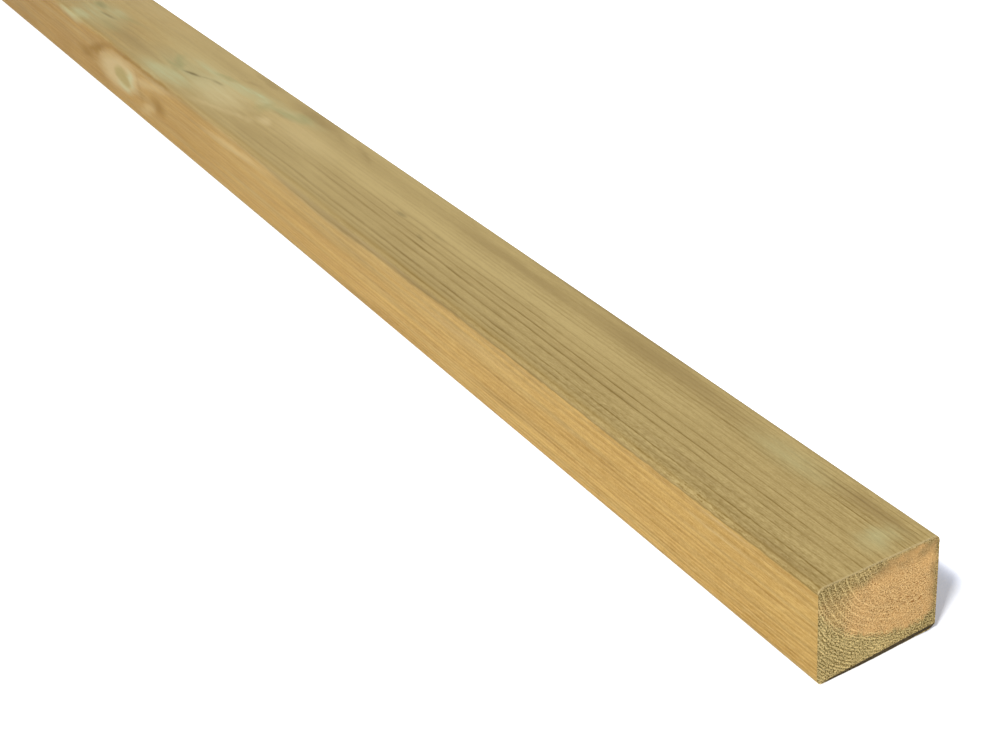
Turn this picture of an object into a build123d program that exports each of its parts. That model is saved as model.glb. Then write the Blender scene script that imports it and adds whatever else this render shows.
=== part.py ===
from build123d import *
import os

# A deck baluster: one stick of planed softwood with a rectangular section,
# its four long arrises eased to a small round, and both ends sawn square.
# It lies on one broad face. +X runs along the stick to the end that faces
# the viewer, +Y runs across the broad face, and +Z is up.
# The origin is the centre of the underside.

# Driving dimensions in millimetres
stick_length = 900
broad_face_width = 41
stick_thickness = 32
arris_radius = 2

os.makedirs("parts", exist_ok=True)

# The back end stands upright, with its sketch's x along the broad face
back_end = Plane(
    origin=(-stick_length / 2, 0, stick_thickness / 2),
    x_dir=(0, 1, 0),
    z_dir=(1, 0, 0),
)

with BuildPart() as baluster:
    # The section that the planer leaves before the arrises are eased
    with BuildSketch(back_end):
        Rectangle(broad_face_width, stick_thickness)
    extrude(amount=stick_length)

    # Only the edges along the grain are eased: the sawn ends stay sharp
    long_arrises = baluster.edges().filter_by(Axis.X)
    fillet(long_arrises, radius=arris_radius)

baluster.part.label = "baluster"
export_step(baluster.part, "parts/baluster.step")
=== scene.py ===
import math
from collections import namedtuple

import bpy
from bpy.props import FloatProperty
from bpy.props import FloatVectorProperty
from bpy.props import IntProperty
from bpy.props import PointerProperty
from mathutils import Matrix
from mathutils import Vector


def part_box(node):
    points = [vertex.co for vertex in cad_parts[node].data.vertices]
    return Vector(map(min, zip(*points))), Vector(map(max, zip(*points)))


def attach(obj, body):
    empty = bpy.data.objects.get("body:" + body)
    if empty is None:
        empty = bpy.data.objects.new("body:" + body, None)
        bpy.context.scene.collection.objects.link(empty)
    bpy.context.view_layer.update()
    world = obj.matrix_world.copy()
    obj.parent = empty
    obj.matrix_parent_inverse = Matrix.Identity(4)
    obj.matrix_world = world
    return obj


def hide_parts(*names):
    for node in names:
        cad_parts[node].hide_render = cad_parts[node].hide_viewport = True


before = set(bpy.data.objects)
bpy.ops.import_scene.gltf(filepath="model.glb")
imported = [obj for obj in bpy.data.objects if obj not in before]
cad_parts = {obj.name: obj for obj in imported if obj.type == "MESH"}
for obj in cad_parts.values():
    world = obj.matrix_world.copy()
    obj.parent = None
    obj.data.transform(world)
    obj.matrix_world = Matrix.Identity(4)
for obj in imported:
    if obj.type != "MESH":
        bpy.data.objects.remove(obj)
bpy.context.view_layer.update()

bl_info = {
    "name": "Deck Baluster",
    "version": (1, 0, 0),
    "blender": (4, 5, 0),
    "location": "View3D > Sidebar > Baluster",
    "description": "A planed softwood deck baluster with growth rings, knots and sawn ends",
    "category": "Object",
}

# The frame gives the stick's own size, so the sizes below can start from it
low_corner, high_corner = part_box("baluster")
stick_extent = high_corner - low_corner

# The wood is described in millimetres
MM_PER_M = 1000.0
LENGTH_MM = stick_extent.x * MM_PER_M
WIDTH_MM = stick_extent.y * MM_PER_M
THICKNESS_MM = stick_extent.z * MM_PER_M

# The tree's middle runs just above the stick's top face. Its first rings are round
# it, and the later ones round a centre that lies higher. Further back the rings
# stand higher still in the middle of the stick.
PITH_ACROSS = 32.0
PITH_HEIGHT = 32.3
OUTER_CENTRE_RISE = 5.7
DRIFT_PER_MM = 0.0137
LARGEST_DRIFT = 5.2
DRIFT_ACROSS = (
    (0, 0), (0.15, 0.5), (0.32, 0.85), (0.50, 1), (0.66, 0.5), (0.80, 0), (1, 0),
)

# Each ring: its distance from the pith, how dark its line is on a planed face, and
# how pale its arc is on a sawn end. Past the last one the rings are evenly fine.
Ring = namedtuple("Ring", "radius planed sawn")
RINGS = (
    Ring(0.9, 0.55, 0.2), Ring(2.7, 0.75, 0.2), Ring(4.2, 0.45, 0.2), Ring(5.8, 0.50, 0.2),
    Ring(7.3, 0.20, 0.2), Ring(10.7, 0.45, 0.3), Ring(14.2, 0.85, 0.5), Ring(16.6, 0.05, 0.3),
    Ring(18.1, 0.85, 0.6), Ring(19.4, 0.05, 0.2), Ring(20.9, 1.00, 0.5), Ring(23.9, 0.60, 1.0),
    Ring(25.8, 0.10, 0.8), Ring(27.6, 0.90, 1.0), Ring(29.7, 0.80, 0.7), Ring(31.7, 0.85, 0.6),
    Ring(33.5, 0.60, 0.8), Ring(34.5, 0.60, 0.9), Ring(35.5, 0.30, 0.7), Ring(36.4, 0.30, 0.5),
    Ring(37.2, 0.45, 0.6), Ring(38.2, 0.85, 1.0), Ring(39.3, 0.75, 1.0), Ring(40.3, 0.40, 0.7),
    Ring(41.2, 0.35, 0.8), Ring(42.5, 0.80, 0.6),
)
OUTER_RING_SPACING = 0.95
OUTER_RING_PLANED = 0.75
OUTER_RING_SAWN = 0.70
LARGEST_RADIUS = 52.0
LARGEST_NUMBER = 40.0
LARGEST_SPACING = 4.0
PITH_STRENGTH = 0.3
RING_VALUES = ("Ring Number", "Ring Spacing", "Radius", "Planed", "Sawn")

# How far the rings stray from round, over a size along and across the grain
Stray = namedtuple("Stray", "along across seed amount")
RING_STRAYS = (
    Stray(90.0, 12.0, 7.0, 0.45),
    Stray(16.0, 3.0, 11.0, 0.14),
    Stray(6.0, 1.5, 13.0, 0.15),
)

# A knot pushes the rings around it outwards. Its centre is given from the front end,
# from the left side and from below, and its reach along, across and up.
Knot = namedtuple("Knot", "centre reach push")
KNOTS = (
    Knot((527, 0, 17.1), (27, 12, 9.5), 6),
    Knot((480, 0, 15.8), (12, 8, 6), 2.2),
    Knot((582, 0, 14.5), (12, 7, 5), 2),
    Knot((466, 15, 32), (26, 8, 9), 3.4),
    Knot((580, 13, 32), (22, 8, 9), 3),
    Knot((269.5, 20.7, 32), (6, 2, 3), 0.9),
)

# Marks on a face, in millimetres. On the top a place is the distance from the front
# end and from the left side, and on the left side it is the distance from the front
# end and the height. A stroke becomes an oval with these shares of its run and width.
Spot = namedtuple("Spot", "along across reach_along reach_across strength")
Stroke = namedtuple("Stroke", "along across end_along end_across width strength")
STROKE_LENGTH = 0.62
STROKE_WIDTH = 1.3
TOP_CHECKS = (
    Stroke(473, 13.8, 461, 16.4, 0.9, 1),
    Stroke(462, 16.4, 453, 19, 0.5, 0.40),
    Stroke(453, 19.2, 443, 20.2, 0.7, 0.55),
    Stroke(585, 12.2, 568, 14, 0.8, 0.60),
    Stroke(602, 16.8, 588, 15.2, 1.3, 0.30),
    Stroke(250, 17.4, 245, 16.1, 0.5, 0.55),
    Stroke(247, 22.1, 238, 21.8, 0.7, 0.25),
    Spot(269.5, 20.6, 4.6, 1.1, 0.65),
)
TOP_GREENS = (
    Stroke(500, 4, 452, 8.5, 4.6, 0.70),
    Spot(464, 22.8, 22, 3.8, 0.60),
    Spot(458, 16, 46, 12, 0.40),
    Spot(584, 11, 30, 11, 0.45),
    Stroke(466, 20, 402, 29.6, 3.4, 0.60),
    Stroke(446, 24.6, 408, 29.4, 1.8, 0.90),
    Spot(412, 27, 9, 4, 0.70),
    Spot(479, 4.8, 10, 4.2, 0.80),
    Stroke(416, 26, 370, 32, 3.2, 0.45),
    Spot(591, 3.5, 14, 4, 0.80),
    Spot(575, 18, 15, 3.4, 0.60),
    Spot(52, 32.5, 20, 5.5, 0.25),
    Spot(8, 27, 6, 7, 0.38),
)
TOP_CREAMS = (
    Spot(435, 15.5, 28, 8.5, 0.95),
    Spot(391, 18, 8, 3.4, 0.85),
    Stroke(412, 11.4, 399, 11.8, 0.8, 0.60),
    Spot(396, 13, 5, 2, 0.45),
    Stroke(437, 3.5, 403, 11.6, 1.7, 0.60),
    Spot(365, 22, 34, 8, 0.35),
    Spot(560, 34, 60, 6, 0.35),
)
TOP_DARKS = (
    Spot(384, 7.5, 30, 3.2, 0.35),
    Spot(370, 6, 7, 1.1, 0.35),
    Spot(532, 9, 36, 3.8, 0.50),
    Spot(429, 38, 18, 2, 0.45),
    Stroke(443, 30.2, 429, 33.2, 1.1, 0.35),
    Spot(547, 32, 7, 1.6, 0.25),
    Spot(374, 36.6, 30, 3.8, 0.66),
    Stroke(364, 37.2, 345, 33.6, 1.4, 0.45),
    Stroke(338, 36.8, 320, 32.2, 1.5, 0.50),
    Stroke(400, 25, 383, 27.2, 0.9, 0.50),
    Spot(70, 7.5, 24, 2.2, 0.35),
    Stroke(2, 33.8, 34, 34.6, 2.2, 0.60),
    Stroke(40, 1.6, 2, 1.6, 1.2, 0.45),
    Spot(122, 34.6, 58, 4.4, 0.68),
    Stroke(205, 39.9, 90, 39.9, 1.5, 0.60),
    Stroke(404, 40, 345, 40, 1.5, 0.50),
    Spot(205, 33, 60, 2.8, 0.52),
)
TOP_OLIVES = (
    Stroke(494, 20, 477, 11.5, 2.6, 0.70),
    Stroke(460, 24.2, 444, 26.6, 1.3, 0.50),
    Stroke(407, 29.5, 404, 20.5, 3.4, 0.45),
    Spot(380, 32, 7, 3.6, 0.55),
    Stroke(494, 12.5, 474, 13.6, 1, 0.60),
    Stroke(404, 26, 376, 30.5, 1.4, 0.55),
    Spot(596, 15.6, 9, 3, 0.60),
    Stroke(570, 17.8, 548, 20.5, 1.6, 0.35),
    Spot(560, 8, 14, 2.6, 0.30),
)
TOP_SMOOTH = (
    Spot(58, 33, 17, 5.5, 1),
    Spot(352, 23, 60, 8, 0.7),
    Spot(430, 15, 60, 12, 0.8),
)
SIDE_RINGS = (Stroke(556, 14.8, 508, 20.4, 7.2, 0.90),)
SIDE_PALES = (
    Stroke(510, 20.4, 462, 27.6, 2.2, 0.50),
    Stroke(506, 5.8, 480, 15.6, 2.4, 0.45),
    Stroke(418, 24, 356, 26.4, 1.7, 0.50),
    Stroke(215, 22, 150, 22.6, 1.6, 0.20),
    Stroke(52, 28.4, 30, 28.9, 0.5, 0.45),
    Stroke(56, 24.2, 30, 24, 0.5, 0.40),
)
SIDE_CORES = (Spot(527, 17.1, 10, 4.6, 1),)
SIDE_GREENS = (
    Spot(515.5, 18.6, 5.2, 5.4, 0.85),
    Spot(528, 11.4, 11, 2.4, 0.75),
    Spot(598, 31, 20, 3.6, 0.75),
)
SIDE_BROWNS = (
    Stroke(580, 16, 540, 29.6, 2.3, 1.00),
    Stroke(550, 29.6, 448, 29.8, 1.1, 0.85),
    Spot(582, 14.5, 12, 3.4, 0.95),
    Spot(479.5, 15.4, 11, 5.4, 0.95),
    Stroke(506, 27, 501, 9, 2.4, 0.30),
    Spot(440, 10, 40, 6, 0.16),
    Stroke(479, 17, 468, 20.4, 1.6, 0.25),
    Stroke(458, 29.6, 408, 28.6, 1.3, 0.42),
    Stroke(370, 18.8, 255, 19.2, 2, 0.22),
    Stroke(190, 7.8, 142, 8, 1.1, 0.25),
)

# Where the saw tore the front end: distance from the left side, then height
SAW_TEARS = (
    Stroke(24, 17.4, 31, 16, 1.3, 1),
    Stroke(28, 15.2, 38, 12.8, 1.4, 1),
    Spot(32, 18.5, 8, 3.5, 0.4),
    Spot(24, 12, 9, 4, 0.3),
)

# How far up the left side the golden wood shows before the green-brown stain of
# the top begins: height against distance from the front end
STAIN_HEIGHT = (
    (0, 30.2), (30, 30.2), (90, 29.5), (190, 29.4), (240, 28.6), (300, 27),
    (335, 28.4), (360, 30), (385, 30.4), (420, 29.4), (480, 29.6), (540, 31.4),
    (640, 31), (900, 30),
)
TOP_LEVEL = 40.0

# How many rows of the mesh stand before each distance from the front end
ROW_PLACES = (
    (0, 0), (16, 8), (60, 16), (235, 38), (620, 231), (900, 259),
)

# The materials: how much the wood shines, how deep the planed and the sawn wood's
# finest relief is, in metres, and how far an end's pattern runs inwards, in millimetres
WOOD_SPECULAR = 0.12
PLANED_BUMP = 0.00007
SAWN_BUMP = 0.00025
SLICE_DEPTH = 50.0

# The shape: corners sharper than this angle, in radians, are not shaded smooth
SHARP_ANGLE = 0.95
TINY = 0.000001

# The stage, in metres, but for the camera's sensor, in millimetres. The camera has the
# photograph's place and its slight tilt.
FLOOR_GAP = 0.0004
LAMP_PLACE = Vector((1.28, -1.38, 1.9))
LAMP_AIM = Vector((0.2, 0.0, 0.0))
CAMERA_PLACE = Vector((0.7308, -0.2545, 0.3139))
CAMERA_DIRECTION = Vector((-0.76266, 0.40221, -0.50653))
CAMERA_UP = Vector((-0.40442, 0.31462, 0.85875))
CAMERA_REACH = (0.01, 100.0)
SENSOR_WIDTH = 36.0


def shade(red, green, blue):
    """A colour from its usual 0 to 255 values, as the linear values that nodes use."""
    parts = []
    for value in (red, green, blue):
        part = value / 255.0
        if part <= 0.04045:
            parts.append(part / 12.92)
        else:
            parts.append(((part + 0.055) / 1.055) ** 2.4)
    return tuple(parts)


def colour_property(name, description, red, green, blue):
    """A colour that a user may change, with its default in 0 to 255 values."""
    default = shade(red, green, blue)
    return FloatVectorProperty(
        name=name, description=description, subtype="COLOR", size=3, min=0.0, max=1.0, default=default
    )


def number_property(name, description, default, unit="LENGTH", precision=2):
    """A number from nought upwards that a user may change. It is a length as a rule."""
    return FloatProperty(
        name=name, description=description, unit=unit, precision=precision, min=0.0, default=default
    )


class StickSizes(bpy.types.PropertyGroup):
    """Sizes of the stick and of its relief. The stick's node tree has the same inputs."""

    length: number_property("Length", "Length of the stick along the grain", stick_extent.x)
    broad_face: number_property("Broad Face", "Width of the face it lies on", stick_extent.y)
    thickness: number_property("Thickness", "Height of the stick as it lies", stick_extent.z)
    arris_radius: number_property("Arris Radius", "Round on the long edges", 0.002, precision=4)
    grain_relief: number_property(
        "Grain Relief", "Depth of the soft grain below the hard rings", 0.00006, precision=5
    )
    saw_relief: number_property(
        "Saw Relief", "Depth of the fuzz and the saw marks on the ends", 0.00022, precision=5
    )
    foot_tear: number_property(
        "Foot Tear", "How far the front end's lower edge is torn back", 0.0006, precision=5
    )
    rows_along: IntProperty(
        name="Rows Along",
        description="Mesh rows along the grain",
        default=ROW_PLACES[-1][1] + 1,
        min=20,
    )
    row_spacing: number_property(
        "Row Spacing", "Width of the mesh rows across the grain", 0.0005, precision=5
    )


class WoodColours(bpy.types.PropertyGroup):
    """Colours of the treated softwood."""

    olive_pale: colour_property("Olive Pale", "Soft grain of the stained faces", 185, 163, 109)
    olive_dark: colour_property("Olive Dark", "Ring lines of the stained broad faces", 128, 104, 52)
    golden_pale: colour_property("Golden Pale", "Soft grain of the narrow faces", 199, 164, 96)
    golden_dark: colour_property("Golden Dark", "Ring lines of the narrow faces", 144, 105, 35)
    stain_green: colour_property("Stain Green", "Preservative beside the knots", 184, 184, 139)
    stain_deep: colour_property("Stain Deep", "Preservative beside the cracks", 146, 145, 97)
    stain_dark: colour_property("Stain Dark", "Preservative in the loose grain", 146, 124, 78)
    knot_pale: colour_property("Knot Pale", "Pale resinous wood around a knot", 202, 180, 130)
    knot_ring: colour_property("Knot Ring", "Pale ring around the round side knot", 200, 179, 131)
    knot_core: colour_property("Knot Core", "Middle of a sound knot", 160, 143, 83)
    knot_brown: colour_property("Knot Brown", "Bark and dark grain round a knot", 138, 101, 26)
    check_dark: colour_property("Check Dark", "Fine cracks in the top knots", 118, 106, 72)
    heart_pale: colour_property("Heart Pale", "Bright fibres of the sawn heartwood", 255, 213, 145)
    heart_dark: colour_property("Heart Dark", "Pits of the sawn heartwood", 163, 108, 47)
    sap_pale: colour_property("Sap Pale", "Ring lines of the sawn, soaked sapwood", 240, 214, 146)
    sap_dark: colour_property("Sap Dark", "Soft grain of the sawn, soaked sapwood", 102, 80, 24)
    # A painted shadow: the dark band where the front end's torn lower edge meets the floor
    foot_shadow_dark: colour_property("Foot Shadow Dark", "Torn lower edge of the sawn end", 52, 43, 29)


class StageLook(bpy.types.PropertyGroup):
    """The floor, the light and the camera."""

    floor_size: number_property("Floor Size", "Side of the square floor", 16.0)
    floor_colour: colour_property("Floor Colour", "Colour of the floor", 246, 248, 252)
    shade_tint: colour_property("Shade Tint", "Colour of the glow in the shadow", 176, 200, 255)
    open_glow: number_property(
        "Open Glow", "What lifts the open floor to white for the camera", 0.70, "NONE"
    )
    contact_glow: number_property(
        "Contact Glow", "The same on the shaded side, so that the shadow stays", 0.10, "NONE"
    )
    lit_contact_glow: number_property(
        "Lit Contact Glow", "The same on the sides that face the lamp and the camera", 0.50, "NONE"
    )
    sky_strength: number_property("Sky Strength", "Even light from all round", 0.50, "NONE")
    lamp_power: number_property("Lamp Power", "Power of the soft lamp on the left", 50.0, "POWER")
    lamp_size: number_property("Lamp Size", "Side of the soft lamp", 0.3)
    focal_length: number_property(
        "Focal Length", "Focal length, in millimetres on a 36 mm sensor", 63.65, "NONE"
    )


# Node trees are written as sums: each sum on a wire adds a math node. The nodes are
# set out in rows, so that a tree can be read.
NODES_IN_ROW = 24
NODE_STEP = 190.0
ROW_STEP = 260.0


def add_node(tree, kind, **settings):
    """A new node with its settings, in the next place of its tree."""
    count = len(tree.nodes)
    node = tree.nodes.new(kind)
    node.location = (NODE_STEP * (count % NODES_IN_ROW), -ROW_STEP * (count // NODES_IN_ROW))
    for name, value in settings.items():
        setattr(node, name, value)
    return node


def join(tree, value, plug):
    """Puts a wire or a plain value into a node's input."""
    if isinstance(value, Wire):
        tree.links.new(value.socket, plug)
    else:
        plug.default_value = value


def wire_from(tree, kind, inputs=(), output=0, **settings):
    """A new node with its settings and inputs, and the wire of one output."""
    node = add_node(tree, kind, **settings)
    for plug, value in dict(inputs).items():
        join(tree, value, node.inputs[plug])
    return Wire(tree, node.outputs[output])


def sum_of(operation, swapped=False):
    """A method of a wire that adds one math node. swapped puts the wire itself last."""

    def method(self, *others):
        values = (*others, self) if swapped else (self, *others)
        return wire_from(self.tree, "ShaderNodeMath", enumerate(values), operation=operation)

    return method


class Wire:
    """A value in a node tree. A sum written on it becomes math nodes."""

    def __init__(self, tree, socket):
        self.tree = tree
        self.socket = socket

    __add__ = sum_of("ADD")
    __radd__ = sum_of("ADD", swapped=True)
    __sub__ = sum_of("SUBTRACT")
    __rsub__ = sum_of("SUBTRACT", swapped=True)
    __mul__ = sum_of("MULTIPLY")
    __rmul__ = sum_of("MULTIPLY", swapped=True)
    __truediv__ = sum_of("DIVIDE")
    __rtruediv__ = sum_of("DIVIDE", swapped=True)
    __abs__ = sum_of("ABSOLUTE")
    above = sum_of("GREATER_THAN")
    exponential = sum_of("EXPONENT")
    fraction = sum_of("FRACT")
    least = sum_of("MINIMUM")
    most = sum_of("MAXIMUM")
    root = sum_of("SQRT")
    sine = sum_of("SINE")
    whole = sum_of("FLOOR")

    def __neg__(self):
        return self * -1.0

    def squared(self):
        return self * self

    def within(self):
        """The value kept from 0 to 1."""
        return self.least(1.0).most(0.0)

    def fade(self, start, end):
        """Runs smoothly from 0 at start to 1 at end. end may be the smaller one."""
        inputs = {"Value": self, "From Min": start, "From Max": end}
        return wire_from(self.tree, "ShaderNodeMapRange", inputs, interpolation_type="SMOOTHSTEP")

    def blend(self, at_zero, at_one):
        """The value between two others that this one, from 0 to 1, picks."""
        return at_zero + self * (at_one - at_zero)

    def bell(self):
        """1 at nought, falling off evenly on both sides."""
        return (-self.squared()).exponential()


def distance(*sides):
    """How far off a place is, from its distances in two or three directions."""
    total = sides[0].squared()
    for side in sides[1:]:
        total = total + side.squared()
    return total.root()


def parts_of(vector, scale=1.0):
    """The three parts of a vector wire, each times scale."""
    node = add_node(vector.tree, "ShaderNodeSeparateXYZ")
    join(vector.tree, vector, node.inputs[0])
    return [Wire(vector.tree, plug) * scale for plug in node.outputs]


def vector_of(x, y, z):
    """A vector wire from three values, the first of them a wire."""
    return wire_from(x.tree, "ShaderNodeCombineXYZ", enumerate((x, y, z)))


def vector_math(operation, first, second, plug=1, output="Vector"):
    """A vector math node on a vector wire and one other input."""
    inputs = {0: first, plug: second}
    return wire_from(first.tree, "ShaderNodeVectorMath", inputs, output, operation=operation)


def noise(place, sizes, seed, detail=1.0):
    """Smooth noise around nought, rarely past 0.6 either way, with its sizes in mm."""
    x, y, z = [part / size for part, size in zip(place, sizes)]
    inputs = {
        "Vector": vector_of(x, y, z + seed),
        "Scale": 1.0,
        "Detail": detail,
        "Roughness": 0.55,
    }
    return wire_from(x.tree, "ShaderNodeTexNoise", inputs, noise_dimensions="3D") * 2.0 - 1.0


def grain_noise(place, along, across, seed, detail=1.0):
    """Noise drawn out along the grain, with its size along and across it in mm."""
    return noise(place, (along, across, across), seed, detail)


def end_noise(cut, across, height, seed, detail=1.0):
    """Noise on a sawn end, with its size across and up the end in mm."""
    return noise(cut, (across, height, SLICE_DEPTH), seed, detail)


def chance(number, seed):
    """A number from 0 to 1 that is the same for the same whole number."""
    inputs = {"W": number + seed}
    return wire_from(number.tree, "ShaderNodeTexWhiteNoise", inputs, "Value", noise_dimensions="1D")


def curve_of(value, points):
    """Reads a curve through straight runs between points, all from 0 to 1."""
    node = add_node(value.tree, "ShaderNodeFloatCurve")
    join(value.tree, value, node.inputs["Value"])
    curve = node.mapping.curves[0]
    while len(curve.points) < len(points):
        curve.points.new(0.5, 0.5)
    for place, point in zip(sorted(points), curve.points):
        point.location = place
        point.handle_type = "VECTOR"
    node.mapping.update()
    return Wire(value.tree, node.outputs[0])


def mix_colour(factor, *colours):
    """A colour wire between two colours."""
    below, above = [part if isinstance(part, Wire) else (*part, 1.0) for part in colours]
    inputs = {0: factor, 6: below, 7: above}
    return wire_from(factor.tree, "ShaderNodeMix", inputs, 2, data_type="RGBA", clamp_factor=True)


def new_group(name, kind, inputs, outputs):
    """A node group with named inputs and outputs, and its two end nodes."""
    tree = bpy.data.node_groups.new(name, kind)
    for label, socket_type, default in inputs:
        plug = tree.interface.new_socket(label, in_out="INPUT", socket_type=socket_type)
        if default is not None:
            plug.default_value = default
    for label, socket_type in outputs:
        tree.interface.new_socket(label, in_out="OUTPUT", socket_type=socket_type)
    entry = add_node(tree, "NodeGroupInput")
    leave = add_node(tree, "NodeGroupOutput")
    return tree, entry, leave


def use_group(tree, group, **values):
    """A group placed in a tree, with its inputs set by name."""
    kind = "ShaderNodeGroup" if tree.bl_idname == "ShaderNodeTree" else "GeometryNodeGroup"
    node = add_node(tree, kind, node_tree=group)
    for label, value in values.items():
        join(tree, value, node.inputs[label.replace("_", " ").title()])
    return {plug.name: Wire(tree, plug) for plug in node.outputs}


def empty_tree(owner, output_kind):
    """The cleared node tree of a material or a world, and its new output node."""
    owner.use_nodes = True
    tree = owner.node_tree
    tree.nodes.clear()
    return tree, add_node(tree, output_kind)


def places(position):
    """Distance from the front end, distance from the left side, and height, in mm."""
    x, y, z = parts_of(position, MM_PER_M)
    return LENGTH_MM / 2.0 - x, y + WIDTH_MM / 2.0, z


def ring_numbers():
    """Points of the curve from a distance to a ring number, both from 0 to 1."""
    points = [(0.0, 0.0)]
    for number, ring in enumerate(RINGS, start=1):
        points.append((ring.radius / LARGEST_RADIUS, number / LARGEST_NUMBER))
    fine_rings = (LARGEST_RADIUS - RINGS[-1].radius) / OUTER_RING_SPACING
    points.append((1.0, (len(RINGS) + fine_rings) / LARGEST_NUMBER))
    return points


def ring_spacings():
    """Points of the curve from a distance to the gap between two rings."""
    points = []
    before = 0.0
    small = 0.05
    for ring in RINGS:
        gap = (ring.radius - before) / LARGEST_SPACING
        points.append(((before + small) / LARGEST_RADIUS, gap))
        points.append(((ring.radius - small) / LARGEST_RADIUS, gap))
        before = ring.radius
    gap = OUTER_RING_SPACING / LARGEST_SPACING
    points.append(((before + small) / LARGEST_RADIUS, gap))
    points.append((1.0, gap))
    return points


def ring_strengths(field, beyond):
    """Points of the curve from a distance to one of the rings' two strengths."""
    points = [(ring.radius / LARGEST_RADIUS, getattr(ring, field)) for ring in RINGS]
    edge = RINGS[-1].radius + OUTER_RING_SPACING
    return points + [(edge / LARGEST_RADIUS, beyond), (1.0, beyond), (0.0, PITH_STRENGTH)]


def growth_rings(kind):
    """The group that says where any point of the wood lies in the tree's rings.

    The shape and the colours both use it, so that the relief, the lines on the
    planed faces and the arcs on the sawn ends are one piece of wood.
    """
    tree, entry, leave = new_group(
        "growth rings",
        kind,
        (("Position", "NodeSocketVector", None), ("Knot Push", "NodeSocketFloat", 0.0)),
        [(label, "NodeSocketFloat") for label in RING_VALUES],
    )
    place = places(Wire(tree, entry.outputs["Position"]))
    along, across, height = place
    drift_share = curve_of(across / WIDTH_MM, DRIFT_ACROSS)
    drift = (along * DRIFT_PER_MM).least(LARGEST_DRIFT) * drift_share
    rise_at_end = along.fade(50.0, 0.0) * across.fade(5.0, 0.0) * 0.8
    from_pith = distance(across - PITH_ACROSS, height - PITH_HEIGHT)
    centre = from_pith.fade(6.0, 18.0) * OUTER_CENTRE_RISE + PITH_HEIGHT
    centre = centre + drift + rise_at_end
    radius = distance(across - PITH_ACROSS, height - centre)
    for stray in RING_STRAYS:
        radius = radius + grain_noise(place, stray.along, stray.across, stray.seed) * stray.amount
    radius = radius - Wire(tree, entry.outputs["Knot Push"])
    share = radius / LARGEST_RADIUS
    number = curve_of(share, ring_numbers()) * LARGEST_NUMBER
    spacing = curve_of(share, ring_spacings()) * LARGEST_SPACING
    planed = curve_of(share, ring_strengths("planed", OUTER_RING_PLANED))
    sawn = curve_of(share, ring_strengths("sawn", OUTER_RING_SAWN))
    uneven = 0.85 + 0.3 * chance((number + 0.5).whole(), 5.0)
    values = (number, spacing, radius, planed * uneven, sawn * uneven)
    for label, value in zip(RING_VALUES, values):
        join(tree, value, leave.inputs[label])
    return tree


def past_ring(wood):
    """How far a point lies outside the nearest ring's edge, in mm, or inside it."""
    return ((wood["Ring Number"] + 0.5).fraction() - 0.5) * wood["Ring Spacing"]


def line_near(past, before, after):
    """1 on a ring's edge, dying away over one distance inside it and one outside."""
    return past.fade(-before, 0.0).least(past.fade(after, 0.0))


def knot_push(position):
    """How far the knots push the rings outwards at each place, in mm."""
    place = places(position)
    push = place[0] * 0.0
    for knot in KNOTS:
        sides = [
            (part - centre) / reach
            for part, centre, reach in zip(place, knot.centre, knot.reach)
        ]
        push = push + distance(*sides).bell() * knot.push
    return push


def marked(along, across, marks, rim=1.35, core=0.1):
    """The strongest of some marks at each place on a face, from 0 to 1.

    Each mark is an oval, laid along its stroke, that dies away from its core to its
    rim, both given as shares of its reach.
    """
    place = vector_of(along, across, 0.0)
    strongest = along * 0.0
    for mark in marks:
        if isinstance(mark, Spot):
            centre, reach, turn = mark[:2], mark[2:4], 0.0
        else:
            run = (mark.end_along - mark.along, mark.end_across - mark.across)
            centre = (mark.along + run[0] / 2.0, mark.across + run[1] / 2.0)
            reach = (math.hypot(*run) * STROKE_LENGTH, mark.width * STROKE_WIDTH)
            turn = math.atan2(run[1], run[0])
        cosine, sine = math.cos(turn), math.sin(turn)
        from_centre = vector_math("SUBTRACT", place, (*centre, 0.0))
        run_share = (cosine / reach[0], sine / reach[0], 0.0)
        side_share = (-sine / reach[1], cosine / reach[1], 0.0)
        lengthways = vector_math("DOT_PRODUCT", from_centre, run_share, output="Value")
        sideways = vector_math("DOT_PRODUCT", from_centre, side_share, output="Value")
        away = distance(lengthways, sideways)
        strongest = strongest.most(away.fade(rim, core) * mark.strength)
    return strongest


def knot_marks(position):
    """What the knots and the preservative leave on the planed faces, each from 0 to 1."""
    place = places(position)
    along, across, height = place
    on_top = height.fade(29.5, 31.4)
    on_left = across.fade(3.0, 1.4) * height.fade(31.9, 31.0)

    # The marks are drawn on faces that are warped a little, so that none is regular
    stray = grain_noise(place, 14.0, 4.0, 31.0, detail=2.0)
    stray_up = grain_noise(place, 11.0, 3.0, 35.0, detail=2.0)
    along = along + stray * 7.0
    streaks = grain_noise((along, across, height), 24.0, 1.4, 37.0, detail=2.0) + 1.0
    top = (along, across + stray_up * 1.7)
    left = (along, height + stray_up * 1.4)
    cracked = (along - stray * 5.5, across + stray_up * 0.7)

    pale = marked(*top, TOP_CREAMS) * on_top * streaks
    pale = pale.most(marked(*left, SIDE_PALES) * on_left)
    ring = marked(*left, SIDE_RINGS, 1.3, 0.5) * on_left
    green = marked(*top, TOP_GREENS) * on_top * streaks
    green = green.most(marked(*left, SIDE_GREENS) * on_left)
    smooth = marked(*top, TOP_SMOOTH) * on_top
    return {
        "pale": pale,
        "ring": ring,
        "green": green,
        "core": marked(*left, SIDE_CORES, 1.35, 0.6) * on_left,
        "brown": marked(*left, SIDE_BROWNS) * on_left,
        "dark": marked(*top, TOP_DARKS) * on_top,
        "olive": marked(*top, TOP_OLIVES) * on_top,
        "check": marked(*cracked, TOP_CHECKS) * on_top,
        "smooth": smooth.most(pale).most(green).most(ring),
    }


def kept_value(tree, name):
    """A value that the shape keeps on its mesh under a name."""
    return wire_from(tree, "ShaderNodeAttribute", output="Fac", attribute_name=name)


def object_position(tree):
    """A material's place on its object, in metres."""
    return wire_from(tree, "ShaderNodeTexCoord", output="Object")


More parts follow.
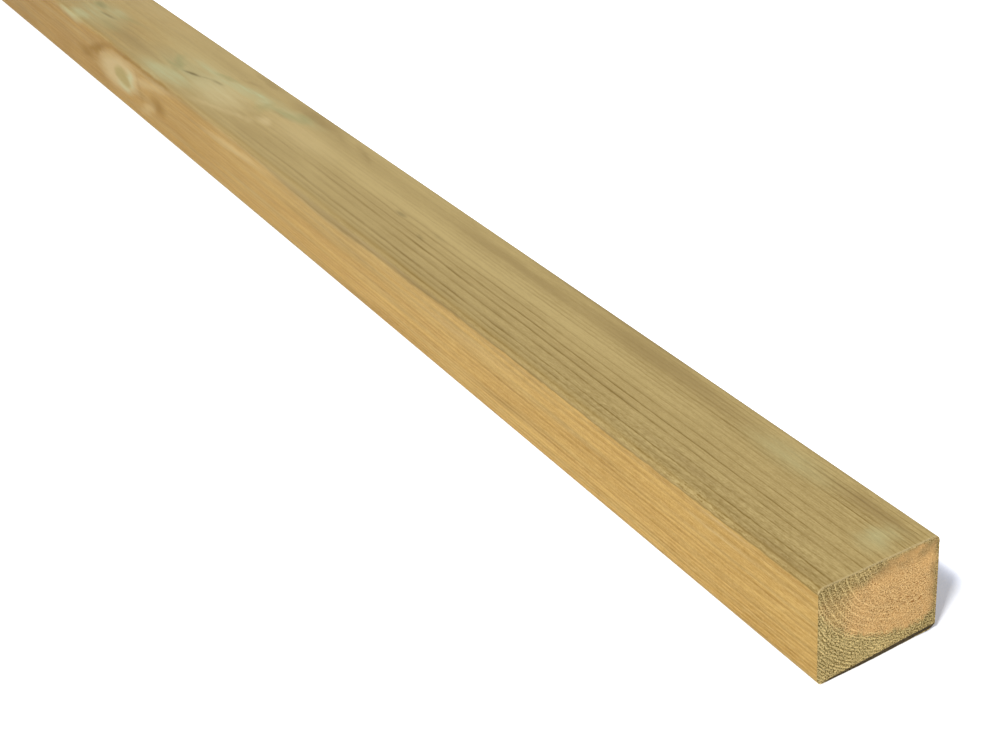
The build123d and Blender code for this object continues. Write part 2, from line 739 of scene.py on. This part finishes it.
def new_material(name):
    """A material, its node tree and its output node."""
    material = bpy.data.materials.new(name)
    return material, *empty_tree(material, "ShaderNodeOutputMaterial")


def finish_wood(tree, output, colour, roughness, relief, depth):
    """Gives a wood its shader, with a colour, a roughness and a relief from 0 to 1."""
    bump = {"Strength": 1.0, "Distance": depth, "Height": relief}
    inputs = {
        "Base Color": colour,
        "Roughness": roughness,
        "Specular IOR Level": WOOD_SPECULAR,
        "Normal": wire_from(tree, "ShaderNodeBump", bump, "Normal"),
    }
    join(tree, wire_from(tree, "ShaderNodeBsdfPrincipled", inputs), output.inputs["Surface"])


def planed_wood(colours, rings):
    """The material of the four planed faces: ring lines, stain, knots and fibres, and painted shade
    along the upper left arris.
    """
    material, tree, output = new_material("planed treated softwood")
    position = object_position(tree)
    place = places(position)
    along, across, height = place
    wood = use_group(tree, rings, position=position, knot_push=kept_value(tree, "knot_push"))
    past = past_ring(wood)

    # What covers the wood's own colour: a kept mark, how much it hides, its colour
    covers = (
        ("dark", 1.0, colours.stain_dark),
        ("pale", 0.85, colours.knot_pale),
        ("ring", 0.78, colours.knot_ring),
        ("green", 0.85, colours.stain_green),
        ("core", 0.85, colours.knot_core),
        ("brown", 0.88, colours.knot_brown),
        ("olive", 0.8, colours.stain_deep),
        ("check", 0.85, colours.check_dark),
    )
    marks = {name: kept_value(tree, name) for name, share, over in covers}

    broad = grain_noise(place, 200.0, 6.0, 41.0)
    clouds = grain_noise(place, 34.0, 4.0, 42.0, detail=2.0)
    streaks = grain_noise(place, 45.0, 1.3, 43.0, detail=2.0)
    fibres = grain_noise(place, 4.5, 0.38, 47.0)
    specks = grain_noise(place, 0.9, 0.42, 53.0)
    mottle = grain_noise(place, 2.4, 0.65, 57.0, detail=2.0)
    crisp = along.fade(380.0, 40.0) * 0.8 + 0.3
    fuzz = (fibres * 0.6 + specks * 0.45) * crisp

    # The top face and the upper rounds took a green-brown stain, the sides did not
    levels = [(from_front / LENGTH_MM, level / TOP_LEVEL) for from_front, level in STAIN_HEIGHT]
    stain_height = curve_of(along / LENGTH_MM, levels) * TOP_LEVEL + clouds * 0.9
    stain_height = stain_height + grain_noise(place, 6.0, 0.9, 45.0) * 0.6
    from_stain = height - stain_height
    soft_edge = along.fade(150.0, 320.0) * 2.0 + 0.4
    on_top = from_stain.fade(-soft_edge, soft_edge)
    right_side = across.fade(39.6, 40.6) * height.fade(31.0, 29.5)
    under = height.fade(3.0, 1.0) * (0.45 + broad)
    olive = (on_top * (1.0 - right_side)).most(under.within())
    seam_width = along.fade(90.0, 240.0) * 0.5 + 0.3
    seam = (from_stain / seam_width - 0.4).bell() * across.fade(2.5, 0.5)
    seam = seam * (0.9 + streaks * 1.2) * along.fade(390.0, 260.0)
    fuzzy_end = along.fade(130.0, 20.0)
    # The strip along the left upper arris, which gets its dark grain and painted shade further down
    arris = across.fade(fuzzy_end * 4.0 + 3.2, 1.2) * from_stain.fade(-0.2, 0.4)

    # Ring lines: a thin dark edge, and a softer shade on the pith's side of it
    plain = 1.0 - kept_value(tree, "smooth") * 0.9
    plain = plain * (1.0 - across.fade(27.0, 30.0) * along.fade(70.0, 170.0) * 0.8)
    broken = 1.0 + grain_noise(place, 26.0, 1.6, 61.0) * 1.1
    broken = broken + specks * 0.35 * crisp
    strength = wood["Planed"] * broken.most(0.15) * plain
    strength = strength * (1.0 + marks["dark"] * along.fade(60.0, 35.0) * 1.6)
    width = along.fade(60.0, 330.0) * 0.50 + 0.42
    edge = line_near(past, width, width * 0.9)
    shadow = line_near(past, 1.5, 0.35)
    lines = edge * 0.72 + shadow * (along.fade(40.0, 260.0) * 0.20 + 0.26)
    lines = lines * strength * (along.fade(430.0, 120.0) * 0.75 + 0.25)
    side_lines = (edge * 0.4 + line_near(past, 0.75, 0.45) * 0.6) * strength
    side_lines = side_lines * (along.fade(420.0, 120.0) * 0.75 + 0.25)

    # How pale the top is, and the side, from the dark colour of each to its pale one
    middle = ((across - 25.0) / 5.0).bell() * on_top
    rough_left = across.fade(16.0, 6.0) * along.fade(230.0, 60.0)
    top_tone = (
        0.70 - lines * 0.62 + clouds * 0.18 + streaks * 0.24
        + fuzz * (0.44 + along.fade(90.0, 10.0) * 0.16)
        + mottle * rough_left * 0.60
        + middle * along.fade(40.0, 170.0) * 0.26
        + across.fade(33.0, 39.0) * 0.14
    )
    low_light = height.fade(13.0, 4.0) * along.fade(20.0, 90.0) * along.fade(260.0, 170.0)
    side_tone = (
        0.78 - side_lines * 0.46 + broad * 0.24 + clouds * 0.20 + streaks * 0.36
        + fuzz * 0.75 - along.fade(150.0, 640.0) * 0.48 + low_light * 0.18
    )

    olive_colour = mix_colour(top_tone.within(), colours.olive_dark, colours.olive_pale)
    golden_colour = mix_colour(side_tone.within(), colours.golden_dark, colours.golden_pale)
    khaki = grain_noise(place, 110.0, 3.0, 44.0) * 1.2 + 0.1
    khaki_part = along.fade(120.0, 220.0) * along.fade(420.0, 390.0)
    khaki = khaki + height.fade(14.0, 22.0) * khaki_part * 0.35
    golden_colour = mix_colour(khaki.within() * 0.6, golden_colour, olive_colour)
    colour = mix_colour(olive, golden_colour, olive_colour)
    # The left upper arris darkens towards olive: partly its dark, mottled grain, partly painted shade
    # that takes back the lamp's light on the round
    arris_grain_and_shade = 0.16 + along.fade(90.0, 220.0) * 0.16 + fuzz * (1.1 + fuzzy_end * 1.1) + streaks * 0.5
    lip = along.fade(0.7, 0.1) * on_top * (0.55 + fibres)
    layers = (
        ((arris * arris_grain_and_shade).within(), colours.olive_dark),
        (seam.within() * 0.8, colours.olive_dark),
        (along.fade(80.0, 500.0) * (olive * 0.14 + 0.05), colours.knot_pale),
        *((marks[name] * share, over) for name, share, over in covers),
        (lip.within(), colours.knot_ring),
    )
    for factor, over in layers:
        colour = mix_colour(factor, colour, over)

    roughness = 0.62 + streaks * 0.10 - lines * 0.08 + marks["check"] * 0.2
    relief = 0.5 + fuzz + lines * 0.4 - marks["check"] * 1.5
    finish_wood(tree, output, colour, roughness, relief, PLANED_BUMP)
    return material


def sawn_wood(colours, rings):
    """The material of the two sawn ends: heartwood, soaked sapwood and saw fuzz, with painted glints
    and a painted shadow along the torn lower edge.
    """
    material, tree, output = new_material("sawn treated end grain")
    position = object_position(tree)
    along, across, height = places(position)
    wood = use_group(tree, rings, position=position)
    radius = wood["Radius"]

    cut = (across, height, along)
    grit = end_noise(cut, 0.46, 0.38, 71.0, detail=2.0)
    fine = end_noise(cut, 0.30, 0.26, 73.0)
    # Bright specks: partly pale torn fibres, partly painted glints where fibres catch the light
    pale_fibres_and_glints = end_noise(cut, 0.62, 0.50, 75.0).fade(0.22, 0.55)
    pit = end_noise(cut, 0.80, 0.50, 77.0).fade(0.20, 0.55)
    patches = end_noise(cut, 4.5, 4.5, 79.0)
    beads = end_noise(cut, 0.9, 0.9, 80.0)
    flecks = end_noise((across, height + across * 0.2, along), 1.5, 0.5, 82.0)

    # Preservative soaks the sapwood, a thin rim, and the rings at the top left
    sap_edge = radius + patches * 1.8 + beads * 2.0 + grit * 1.6 - across.fade(20.0, 0.0) * 1.6
    top_left = across.fade(26.0, 6.0)
    rim_depth = 1.0 + top_left * 4.6 + patches * 1.2
    rim = ((THICKNESS_MM - height) / rim_depth).fade(2.2, 0.5)
    corner = (radius - 24.0 + (height - 20.0) * 0.9).fade(0.0, 6.0) * across.fade(17.0, 5.0)
    right_rim = ((WIDTH_MM - across) / (1.2 + patches * 0.8)).fade(1.3, 0.5)
    soaked = sap_edge.fade(30.8, 33.6)
    soaked = soaked.most(rim * (0.62 + top_left * 0.2)).most(corner * 0.6)
    soaked = soaked.most(right_rim * 0.5)

    # Ring arcs, the saw's grit and its torn flecks
    past = past_ring(wood) + fine * 0.10
    arcs = line_near(past, 0.24, 0.20) * wood["Sawn"]
    wide_arcs = line_near(past, 0.40, 0.34)
    arc_strength = (0.25 + across.fade(30.0, 14.0) * 1.05) * (0.8 + beads * 0.9)
    calm = height.fade(15.0, 31.0) * across.fade(14.0, 30.0) * 0.4
    grain = (grit * 1.3 + fine * 0.7) * (1.0 + patches * 0.8 - calm)
    torn = marked(across, height, SAW_TEARS)
    heart_tone = (
        0.585 + grain * 1.2 + arcs * arc_strength * 0.7 + pale_fibres_and_glints * 0.9 - pit * 0.4
        + patches * 0.12 + flecks * torn * 1.8 - height.fade(22.0, 31.5) * 0.10
    )
    striped = across.fade(40.0, 16.0) * 0.40 + 0.20 + beads * 1.3
    low_middle = ((across - 21.0) / 9.0).bell() * 0.14
    sap_tone = 0.305 + low_middle + grain * 2.0 + wide_arcs * striped + pale_fibres_and_glints * 0.7

    heart = mix_colour(heart_tone.within(), colours.heart_dark, colours.heart_pale)
    drawn_edge = height.fade(24.0, 31.0).most(across.fade(37.0, 40.5)) * (0.8 + patches)
    heart = mix_colour(drawn_edge.within() * 0.75, heart, colours.stain_dark)
    sap = mix_colour(sap_tone.within(), colours.sap_dark, colours.sap_pale)
    colour = mix_colour(soaked, heart, sap)
    top_lip = height.fade(31.3, 31.8) * (0.6 + beads * 0.9)
    colour = mix_colour(top_lip.within(), colour, colours.knot_ring)
    # A dark band along the front end's lower edge, rising with the distance from the left side:
    # painted shadow in the torn edge and where it meets the floor
    foot_shadow_height = 0.38 + across * 0.038 + beads * 0.2
    foot_shadow = height.fade(foot_shadow_height + 0.25, foot_shadow_height - 0.05) * across.fade(0.5, 5.0)
    foot_shadow = foot_shadow * height.fade(foot_shadow_height - 1.7, foot_shadow_height - 1.3)
    colour = mix_colour(foot_shadow * 0.9, colour, colours.foot_shadow_dark)

    roughness = 0.80 + grit * 0.15
    relief = 0.5 + grain * 1.2 + arcs * 0.3 - pit * 0.4
    finish_wood(tree, output, colour, roughness, relief, SAWN_BUMP)
    return material


def run_through(tree, kind, geometry, inputs=(), **settings):
    """A node that the geometry runs through, with its other inputs and its settings."""
    inputs = {"Geometry": geometry, **dict(inputs)}
    return wire_from(tree, kind, inputs, "Geometry", **settings)


def store_value(tree, geometry, name, value, data_type="FLOAT", domain="POINT"):
    """Keeps a value on the mesh under a name."""
    kind = "GeometryNodeStoreNamedAttribute"
    inputs = {"Name": name, "Value": value}
    return run_through(tree, kind, geometry, inputs, data_type=data_type, domain=domain)


def bake_map(tree, x, y, z, normal, length, width, thickness):
    """Each corner's place on the map that an export bakes the stick through.

    The four long faces are strips one above the other, all of the stick's length
    wide. The two sawn ends are larger beside them, because their pattern is finer.
    """
    facing_x, facing_y, facing_z = parts_of(normal)
    girth = (width + thickness) * 2.0
    strip_share = 0.63
    end_height = 0.34
    side_margin = 0.01
    strip_margin = 0.003
    end_margin = 0.015
    from_left = y + width / 2.0
    from_below = z + thickness / 2.0
    round_section = (
        (-facing_z).above(0.5) * from_left
        + facing_y.above(0.5) * (width + from_below)
        + facing_z.above(0.5) * (width + thickness + width - from_left)
        + (-facing_y).above(0.5) * (girth - from_below)
    )
    strip_u = (x / length + 0.5) * (1.0 - 2.0 * side_margin) + side_margin
    strip_v = round_section / girth * strip_share + strip_margin
    end_scale = end_height / thickness
    back = 1.0 - facing_x.above(0.5)
    end_u = from_left * end_scale + back * 0.5 + side_margin
    end_v = from_below * end_scale + strip_share + end_margin
    on_end = abs(facing_x).above(0.5)
    return vector_of(on_end.blend(strip_u, end_u), on_end.blend(strip_v, end_v), 0.0)


def stick_shape(sizes, rings, planed, sawn):
    """The node tree that makes the stick: a rounded section, relief and two materials."""
    kinds = {"FLOAT": "NodeSocketFloat", "INT": "NodeSocketInt"}
    settings = [sizes.bl_rna.properties[name] for name in StickSizes.__annotations__]
    tree, entry, leave = new_group(
        "planed stick",
        "GeometryNodeTree",
        [(size.name, kinds[size.type], size.default) for size in settings],
        (("Geometry", "NodeSocketGeometry"),),
    )
    tree.is_modifier = True
    given = {plug.name: Wire(tree, plug) for plug in entry.outputs if plug.name}
    length, width = given["Length"], given["Broad Face"]
    thickness, arris = given["Thickness"], given["Arris Radius"]

    spacing = given["Row Spacing"]
    grid = {
        "Size": vector_of(length, width, thickness),
        "Vertices X": given["Rows Along"],
        "Vertices Y": width / spacing + 1.0,
        "Vertices Z": thickness / spacing + 1.0,
    }
    box = wire_from(tree, "GeometryNodeMeshCube", grid, "Mesh")
    position = wire_from(tree, "GeometryNodeInputPosition")
    normal = wire_from(tree, "GeometryNodeInputNormal")
    by_face = {"data_type": "FLOAT_VECTOR", "domain": "FACE"}
    face_normal = wire_from(tree, "GeometryNodeFieldOnDomain", {0: normal}, **by_face)
    x, y, z = parts_of(position)
    on_end = abs(parts_of(face_normal)[0]).above(0.5)
    uv = bake_map(tree, x, y, z, face_normal, length, width, thickness)
    box = store_value(tree, box, "sawn_end", on_end, domain="FACE")
    box = store_value(tree, box, "OFBake", uv, "FLOAT2", "CORNER")

    # The rows stand close together at the front end and around the knots
    last_place, last_row = ROW_PLACES[-1]
    row_points = [(row / last_row, from_end / last_place) for from_end, row in ROW_PLACES]
    from_front = curve_of(0.5 - x / length, row_points) * length

    # The square section is drawn in to one with four round arrises
    half_width, half_thickness = width / 2.0, thickness / 2.0
    share = (abs(y) / half_width).most(abs(z) / half_thickness).most(TINY)
    edge_y, edge_z = y / share, z / share
    core_y = edge_y.most(arris - half_width).least(half_width - arris)
    core_z = edge_z.most(arris - half_thickness).least(half_thickness - arris)
    out_y, out_z = edge_y - core_y, edge_z - core_z
    reach = distance(out_y, out_z).most(TINY)
    round_y = (core_y + out_y / reach * arris) * share
    round_z = (core_z + out_z / reach * arris) * share + half_thickness

    # The saw tore back the lower edge of the front end, most at its right
    torn_part = ((round_y + half_width) * MM_PER_M).fade(14.0, 40.0)
    torn_part = torn_part * (round_z * MM_PER_M).fade(2.4, 0.4)
    tear = torn_part * given["Foot Tear"] * (from_front * MM_PER_M).fade(14.0, 0.0)
    place_x = length / 2.0 - from_front - tear
    set_position = "GeometryNodeSetPosition"
    stick = run_through(tree, set_position, box, {"Position": vector_of(place_x, round_y, round_z)})

    # The marks and the knots' push stay on the mesh, for the materials to read
    push = knot_push(position)
    stick = store_value(tree, stick, "knot_push", push)
    for name, value in knot_marks(position).items():
        stick = store_value(tree, stick, name, value)

    # Relief only goes inwards, so that the stick keeps the size it was planed to
    wood = use_group(tree, rings, position=position, knot_push=push)
    place = places(position)
    along, across, height = place
    soft = 1.0 - line_near(past_ring(wood), 1.2, 0.3) * wood["Planed"]
    uneven = grain_noise(place, 70.0, 6.0, 83.0) + 0.5
    grain_depth = given["Grain Relief"] * (soft * 0.6 + uneven.within() * 0.4)
    grit = noise((across, height, along), (0.9, 0.7, 3.0), 71.0, detail=2.0) + 0.5
    saw_wave = ((height + across * 0.28) * 4.1).sine()
    saw_depth = given["Saw Relief"] * (grit.within() * 0.75 + (saw_wave + 1.0) * 0.12)
    kept_end = {"Name": "sawn_end"}
    end_share = wire_from(
        tree, "GeometryNodeInputNamedAttribute", kept_end, "Attribute", data_type="FLOAT"
    )
    depth = end_share.within().blend(grain_depth, saw_depth)
    inwards = vector_math("SCALE", normal, -depth, "Scale")
    stick = run_through(tree, set_position, stick, {"Offset": inwards})

    shade_smooth = "GeometryNodeSetShadeSmooth"
    angle = wire_from(tree, "GeometryNodeInputMeshEdgeAngle")
    sharp = {"Selection": angle.above(SHARP_ANGLE), "Shade Smooth": False}
    stick = run_through(tree, shade_smooth, stick)
    stick = run_through(tree, shade_smooth, stick, sharp, domain="EDGE")

    set_material = "GeometryNodeSetMaterial"
    on_ends = {"Material": sawn, "Selection": end_share.above(0.5)}
    stick = run_through(tree, "GeometryNodeRealizeInstances", stick)
    stick = run_through(tree, set_material, stick, {"Material": planed})
    stick = run_through(tree, set_material, stick, on_ends)
    join(tree, stick, leave.inputs["Geometry"])
    return tree


def set_inputs(modifier, sizes):
    """Sets a node modifier's inputs by their sockets' identifiers."""
    for item in modifier.node_group.interface.items_tree:
        if item.item_type == "SOCKET" and item.in_out == "INPUT":
            modifier[item.identifier] = getattr(sizes, item.name.lower().replace(" ", "_"))


def add_object(context, name, data):
    """A new object in the scene."""
    thing = bpy.data.objects.new(name, data)
    context.scene.collection.objects.link(thing)
    return thing


class BALUSTER_OT_stick(bpy.types.Operator):
    """Makes the planed stick with its relief and its two wood finishes"""

    bl_idname = "baluster.stick"
    bl_label = "Planed Stick"

    def execute(self, context):
        sizes = context.scene.baluster_sizes
        colours = context.scene.baluster_colours
        shader_rings = growth_rings("ShaderNodeTree")
        planed = planed_wood(colours, shader_rings)
        sawn = sawn_wood(colours, shader_rings)
        shape_rings = growth_rings("GeometryNodeTree")

        maker = add_object(context, "stick maker", bpy.data.meshes.new("stick blank"))
        modifier = maker.modifiers.new("planed stick", "NODES")
        modifier.node_group = stick_shape(sizes, shape_rings, planed, sawn)
        set_inputs(modifier, sizes)
        depsgraph = context.evaluated_depsgraph_get()
        mesh = bpy.data.meshes.new_from_object(
            maker.evaluated_get(depsgraph),
            preserve_all_data_layers=True,
            depsgraph=depsgraph,
        )
        maker.modifiers.clear()
        bpy.data.objects.remove(maker)
        if not mesh.polygons:
            raise RuntimeError("the node tree made no stick")
        mesh.name = "planed_stick"
        stick = add_object(context, "planed_stick", mesh)
        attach(stick, "root")
        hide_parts("baluster")
        return {"FINISHED"}


def sees_backdrop(tree):
    """1 for the rays that show the white background: seen, mirrored or through glass."""
    rays = ("Is Camera Ray", "Is Glossy Ray", "Is Transmission Ray")
    kind = "ShaderNodeLightPath"
    seen, mirrored, through = [wire_from(tree, kind, output=ray) for ray in rays]
    return seen.most(mirrored).most(through)


def floor_material(look):
    """A pale floor that is white a little way off the stick, and clear from below."""
    material, tree, output = new_material("pale floor")
    x, y, z = parts_of(object_position(tree), MM_PER_M)
    beside_x = (abs(x) - LENGTH_MM / 2.0).most(0.0)
    beside_y = (abs(y) - WIDTH_MM / 2.0).most(0.0)
    away = distance(beside_x, beside_y)
    shaded = y.fade(12.0, 22.0)
    contact = shaded.blend(look.lit_contact_glow, look.contact_glow)
    open_share = away.fade(shaded * 16.0, shaded * 21.0 + 7.0)
    white = open_share.blend(contact, look.open_glow)
    tint = mix_colour(shaded * (1.0 - open_share), (1.0, 1.0, 1.0), look.shade_tint)
    glow = {"Color": tint, "Strength": sees_backdrop(tree) * white}
    layers = {
        0: wire_from(tree, "ShaderNodeBsdfDiffuse", {"Color": (*look.floor_colour, 1.0)}),
        1: wire_from(tree, "ShaderNodeEmission", glow),
    }
    sides = {
        0: wire_from(tree, "ShaderNodeNewGeometry", output="Backfacing"),
        1: wire_from(tree, "ShaderNodeAddShader", layers),
        2: wire_from(tree, "ShaderNodeBsdfTransparent"),
    }
    join(tree, wire_from(tree, "ShaderNodeMixShader", sides), output.inputs["Surface"])
    return material


def white_sky(strength):
    """A world that lights evenly and shows plain white to the camera."""
    world = bpy.data.worlds.new("white sky")
    tree, output = empty_tree(world, "ShaderNodeOutputWorld")
    white = (1.0, 1.0, 1.0, 1.0)
    sky = {"Color": white, "Strength": sees_backdrop(tree).blend(strength, 1.0)}
    join(tree, wire_from(tree, "ShaderNodeBackground", sky), output.inputs["Surface"])
    return world


class BALUSTER_OT_stage(bpy.types.Operator):
    """Makes the floor, the soft light, the white background and the camera"""

    bl_idname = "baluster.stage"
    bl_label = "Stage"

    def execute(self, context):
        look = context.scene.baluster_stage
        half = look.floor_size / 2.0
        mesh = bpy.data.meshes.new("floor")
        corners = [(-half, -half), (half, -half), (half, half), (-half, half)]
        mesh.from_pydata([(x, y, -FLOOR_GAP) for x, y in corners], [], [(0, 1, 2, 3)])
        mesh.materials.append(floor_material(look))
        floor = add_object(context, "floor", mesh)
        context.scene.world = white_sky(look.sky_strength)

        lamp_data = bpy.data.lights.new("soft lamp", "AREA")
        lamp_data.shape = "SQUARE"
        lamp_data.size = look.lamp_size
        lamp_data.energy = look.lamp_power
        lamp = add_object(context, "soft lamp", lamp_data)
        lamp.location = LAMP_PLACE
        lamp.rotation_euler = (LAMP_AIM - LAMP_PLACE).to_track_quat("-Z", "Y").to_euler()

        camera_data = bpy.data.cameras.new("camera")
        camera_data.sensor_fit = "HORIZONTAL"
        camera_data.sensor_width = SENSOR_WIDTH
        camera_data.lens = look.focal_length
        camera_data.clip_start, camera_data.clip_end = CAMERA_REACH
        camera = add_object(context, "camera", camera_data)
        looks_along = CAMERA_DIRECTION.normalized()
        right = looks_along.cross(CAMERA_UP).normalized()
        up = right.cross(looks_along)
        turn = Matrix((right, up, -looks_along)).transposed()
        camera.matrix_world = Matrix.Translation(CAMERA_PLACE) @ turn.to_4x4()
        context.scene.camera = camera
        context.scene.view_settings.view_transform = "Standard"
        return {"FINISHED"}


class BALUSTER_PT_panel(bpy.types.Panel):
    """Lists the sizes, the colours and the makers of the baluster"""

    bl_idname = "BALUSTER_PT_panel"
    bl_label = "Deck Baluster"
    bl_space_type = "VIEW_3D"
    bl_region_type = "UI"
    bl_category = "Baluster"

    def draw(self, context):
        scene = context.scene
        for group in (scene.baluster_sizes, scene.baluster_colours, scene.baluster_stage):
            box = self.layout.box()
            for name in group.__annotations__:
                box.prop(group, name)
        self.layout.operator(BALUSTER_OT_stick.bl_idname)
        self.layout.operator(BALUSTER_OT_stage.bl_idname)


CLASSES = (
    StickSizes, WoodColours, StageLook, BALUSTER_OT_stick, BALUSTER_OT_stage, BALUSTER_PT_panel
)


def register():
    for part in CLASSES:
        bpy.utils.register_class(part)
    bpy.types.Scene.baluster_sizes = PointerProperty(type=StickSizes)
    bpy.types.Scene.baluster_colours = PointerProperty(type=WoodColours)
    bpy.types.Scene.baluster_stage = PointerProperty(type=StageLook)


def unregister():
    del bpy.types.Scene.baluster_stage
    del bpy.types.Scene.baluster_colours
    del bpy.types.Scene.baluster_sizes
    for part in reversed(CLASSES):
        bpy.utils.unregister_class(part)


def main():
    register()
    bpy.ops.baluster.stick()
    bpy.ops.baluster.stage()


if __name__ == "__main__":
    main()
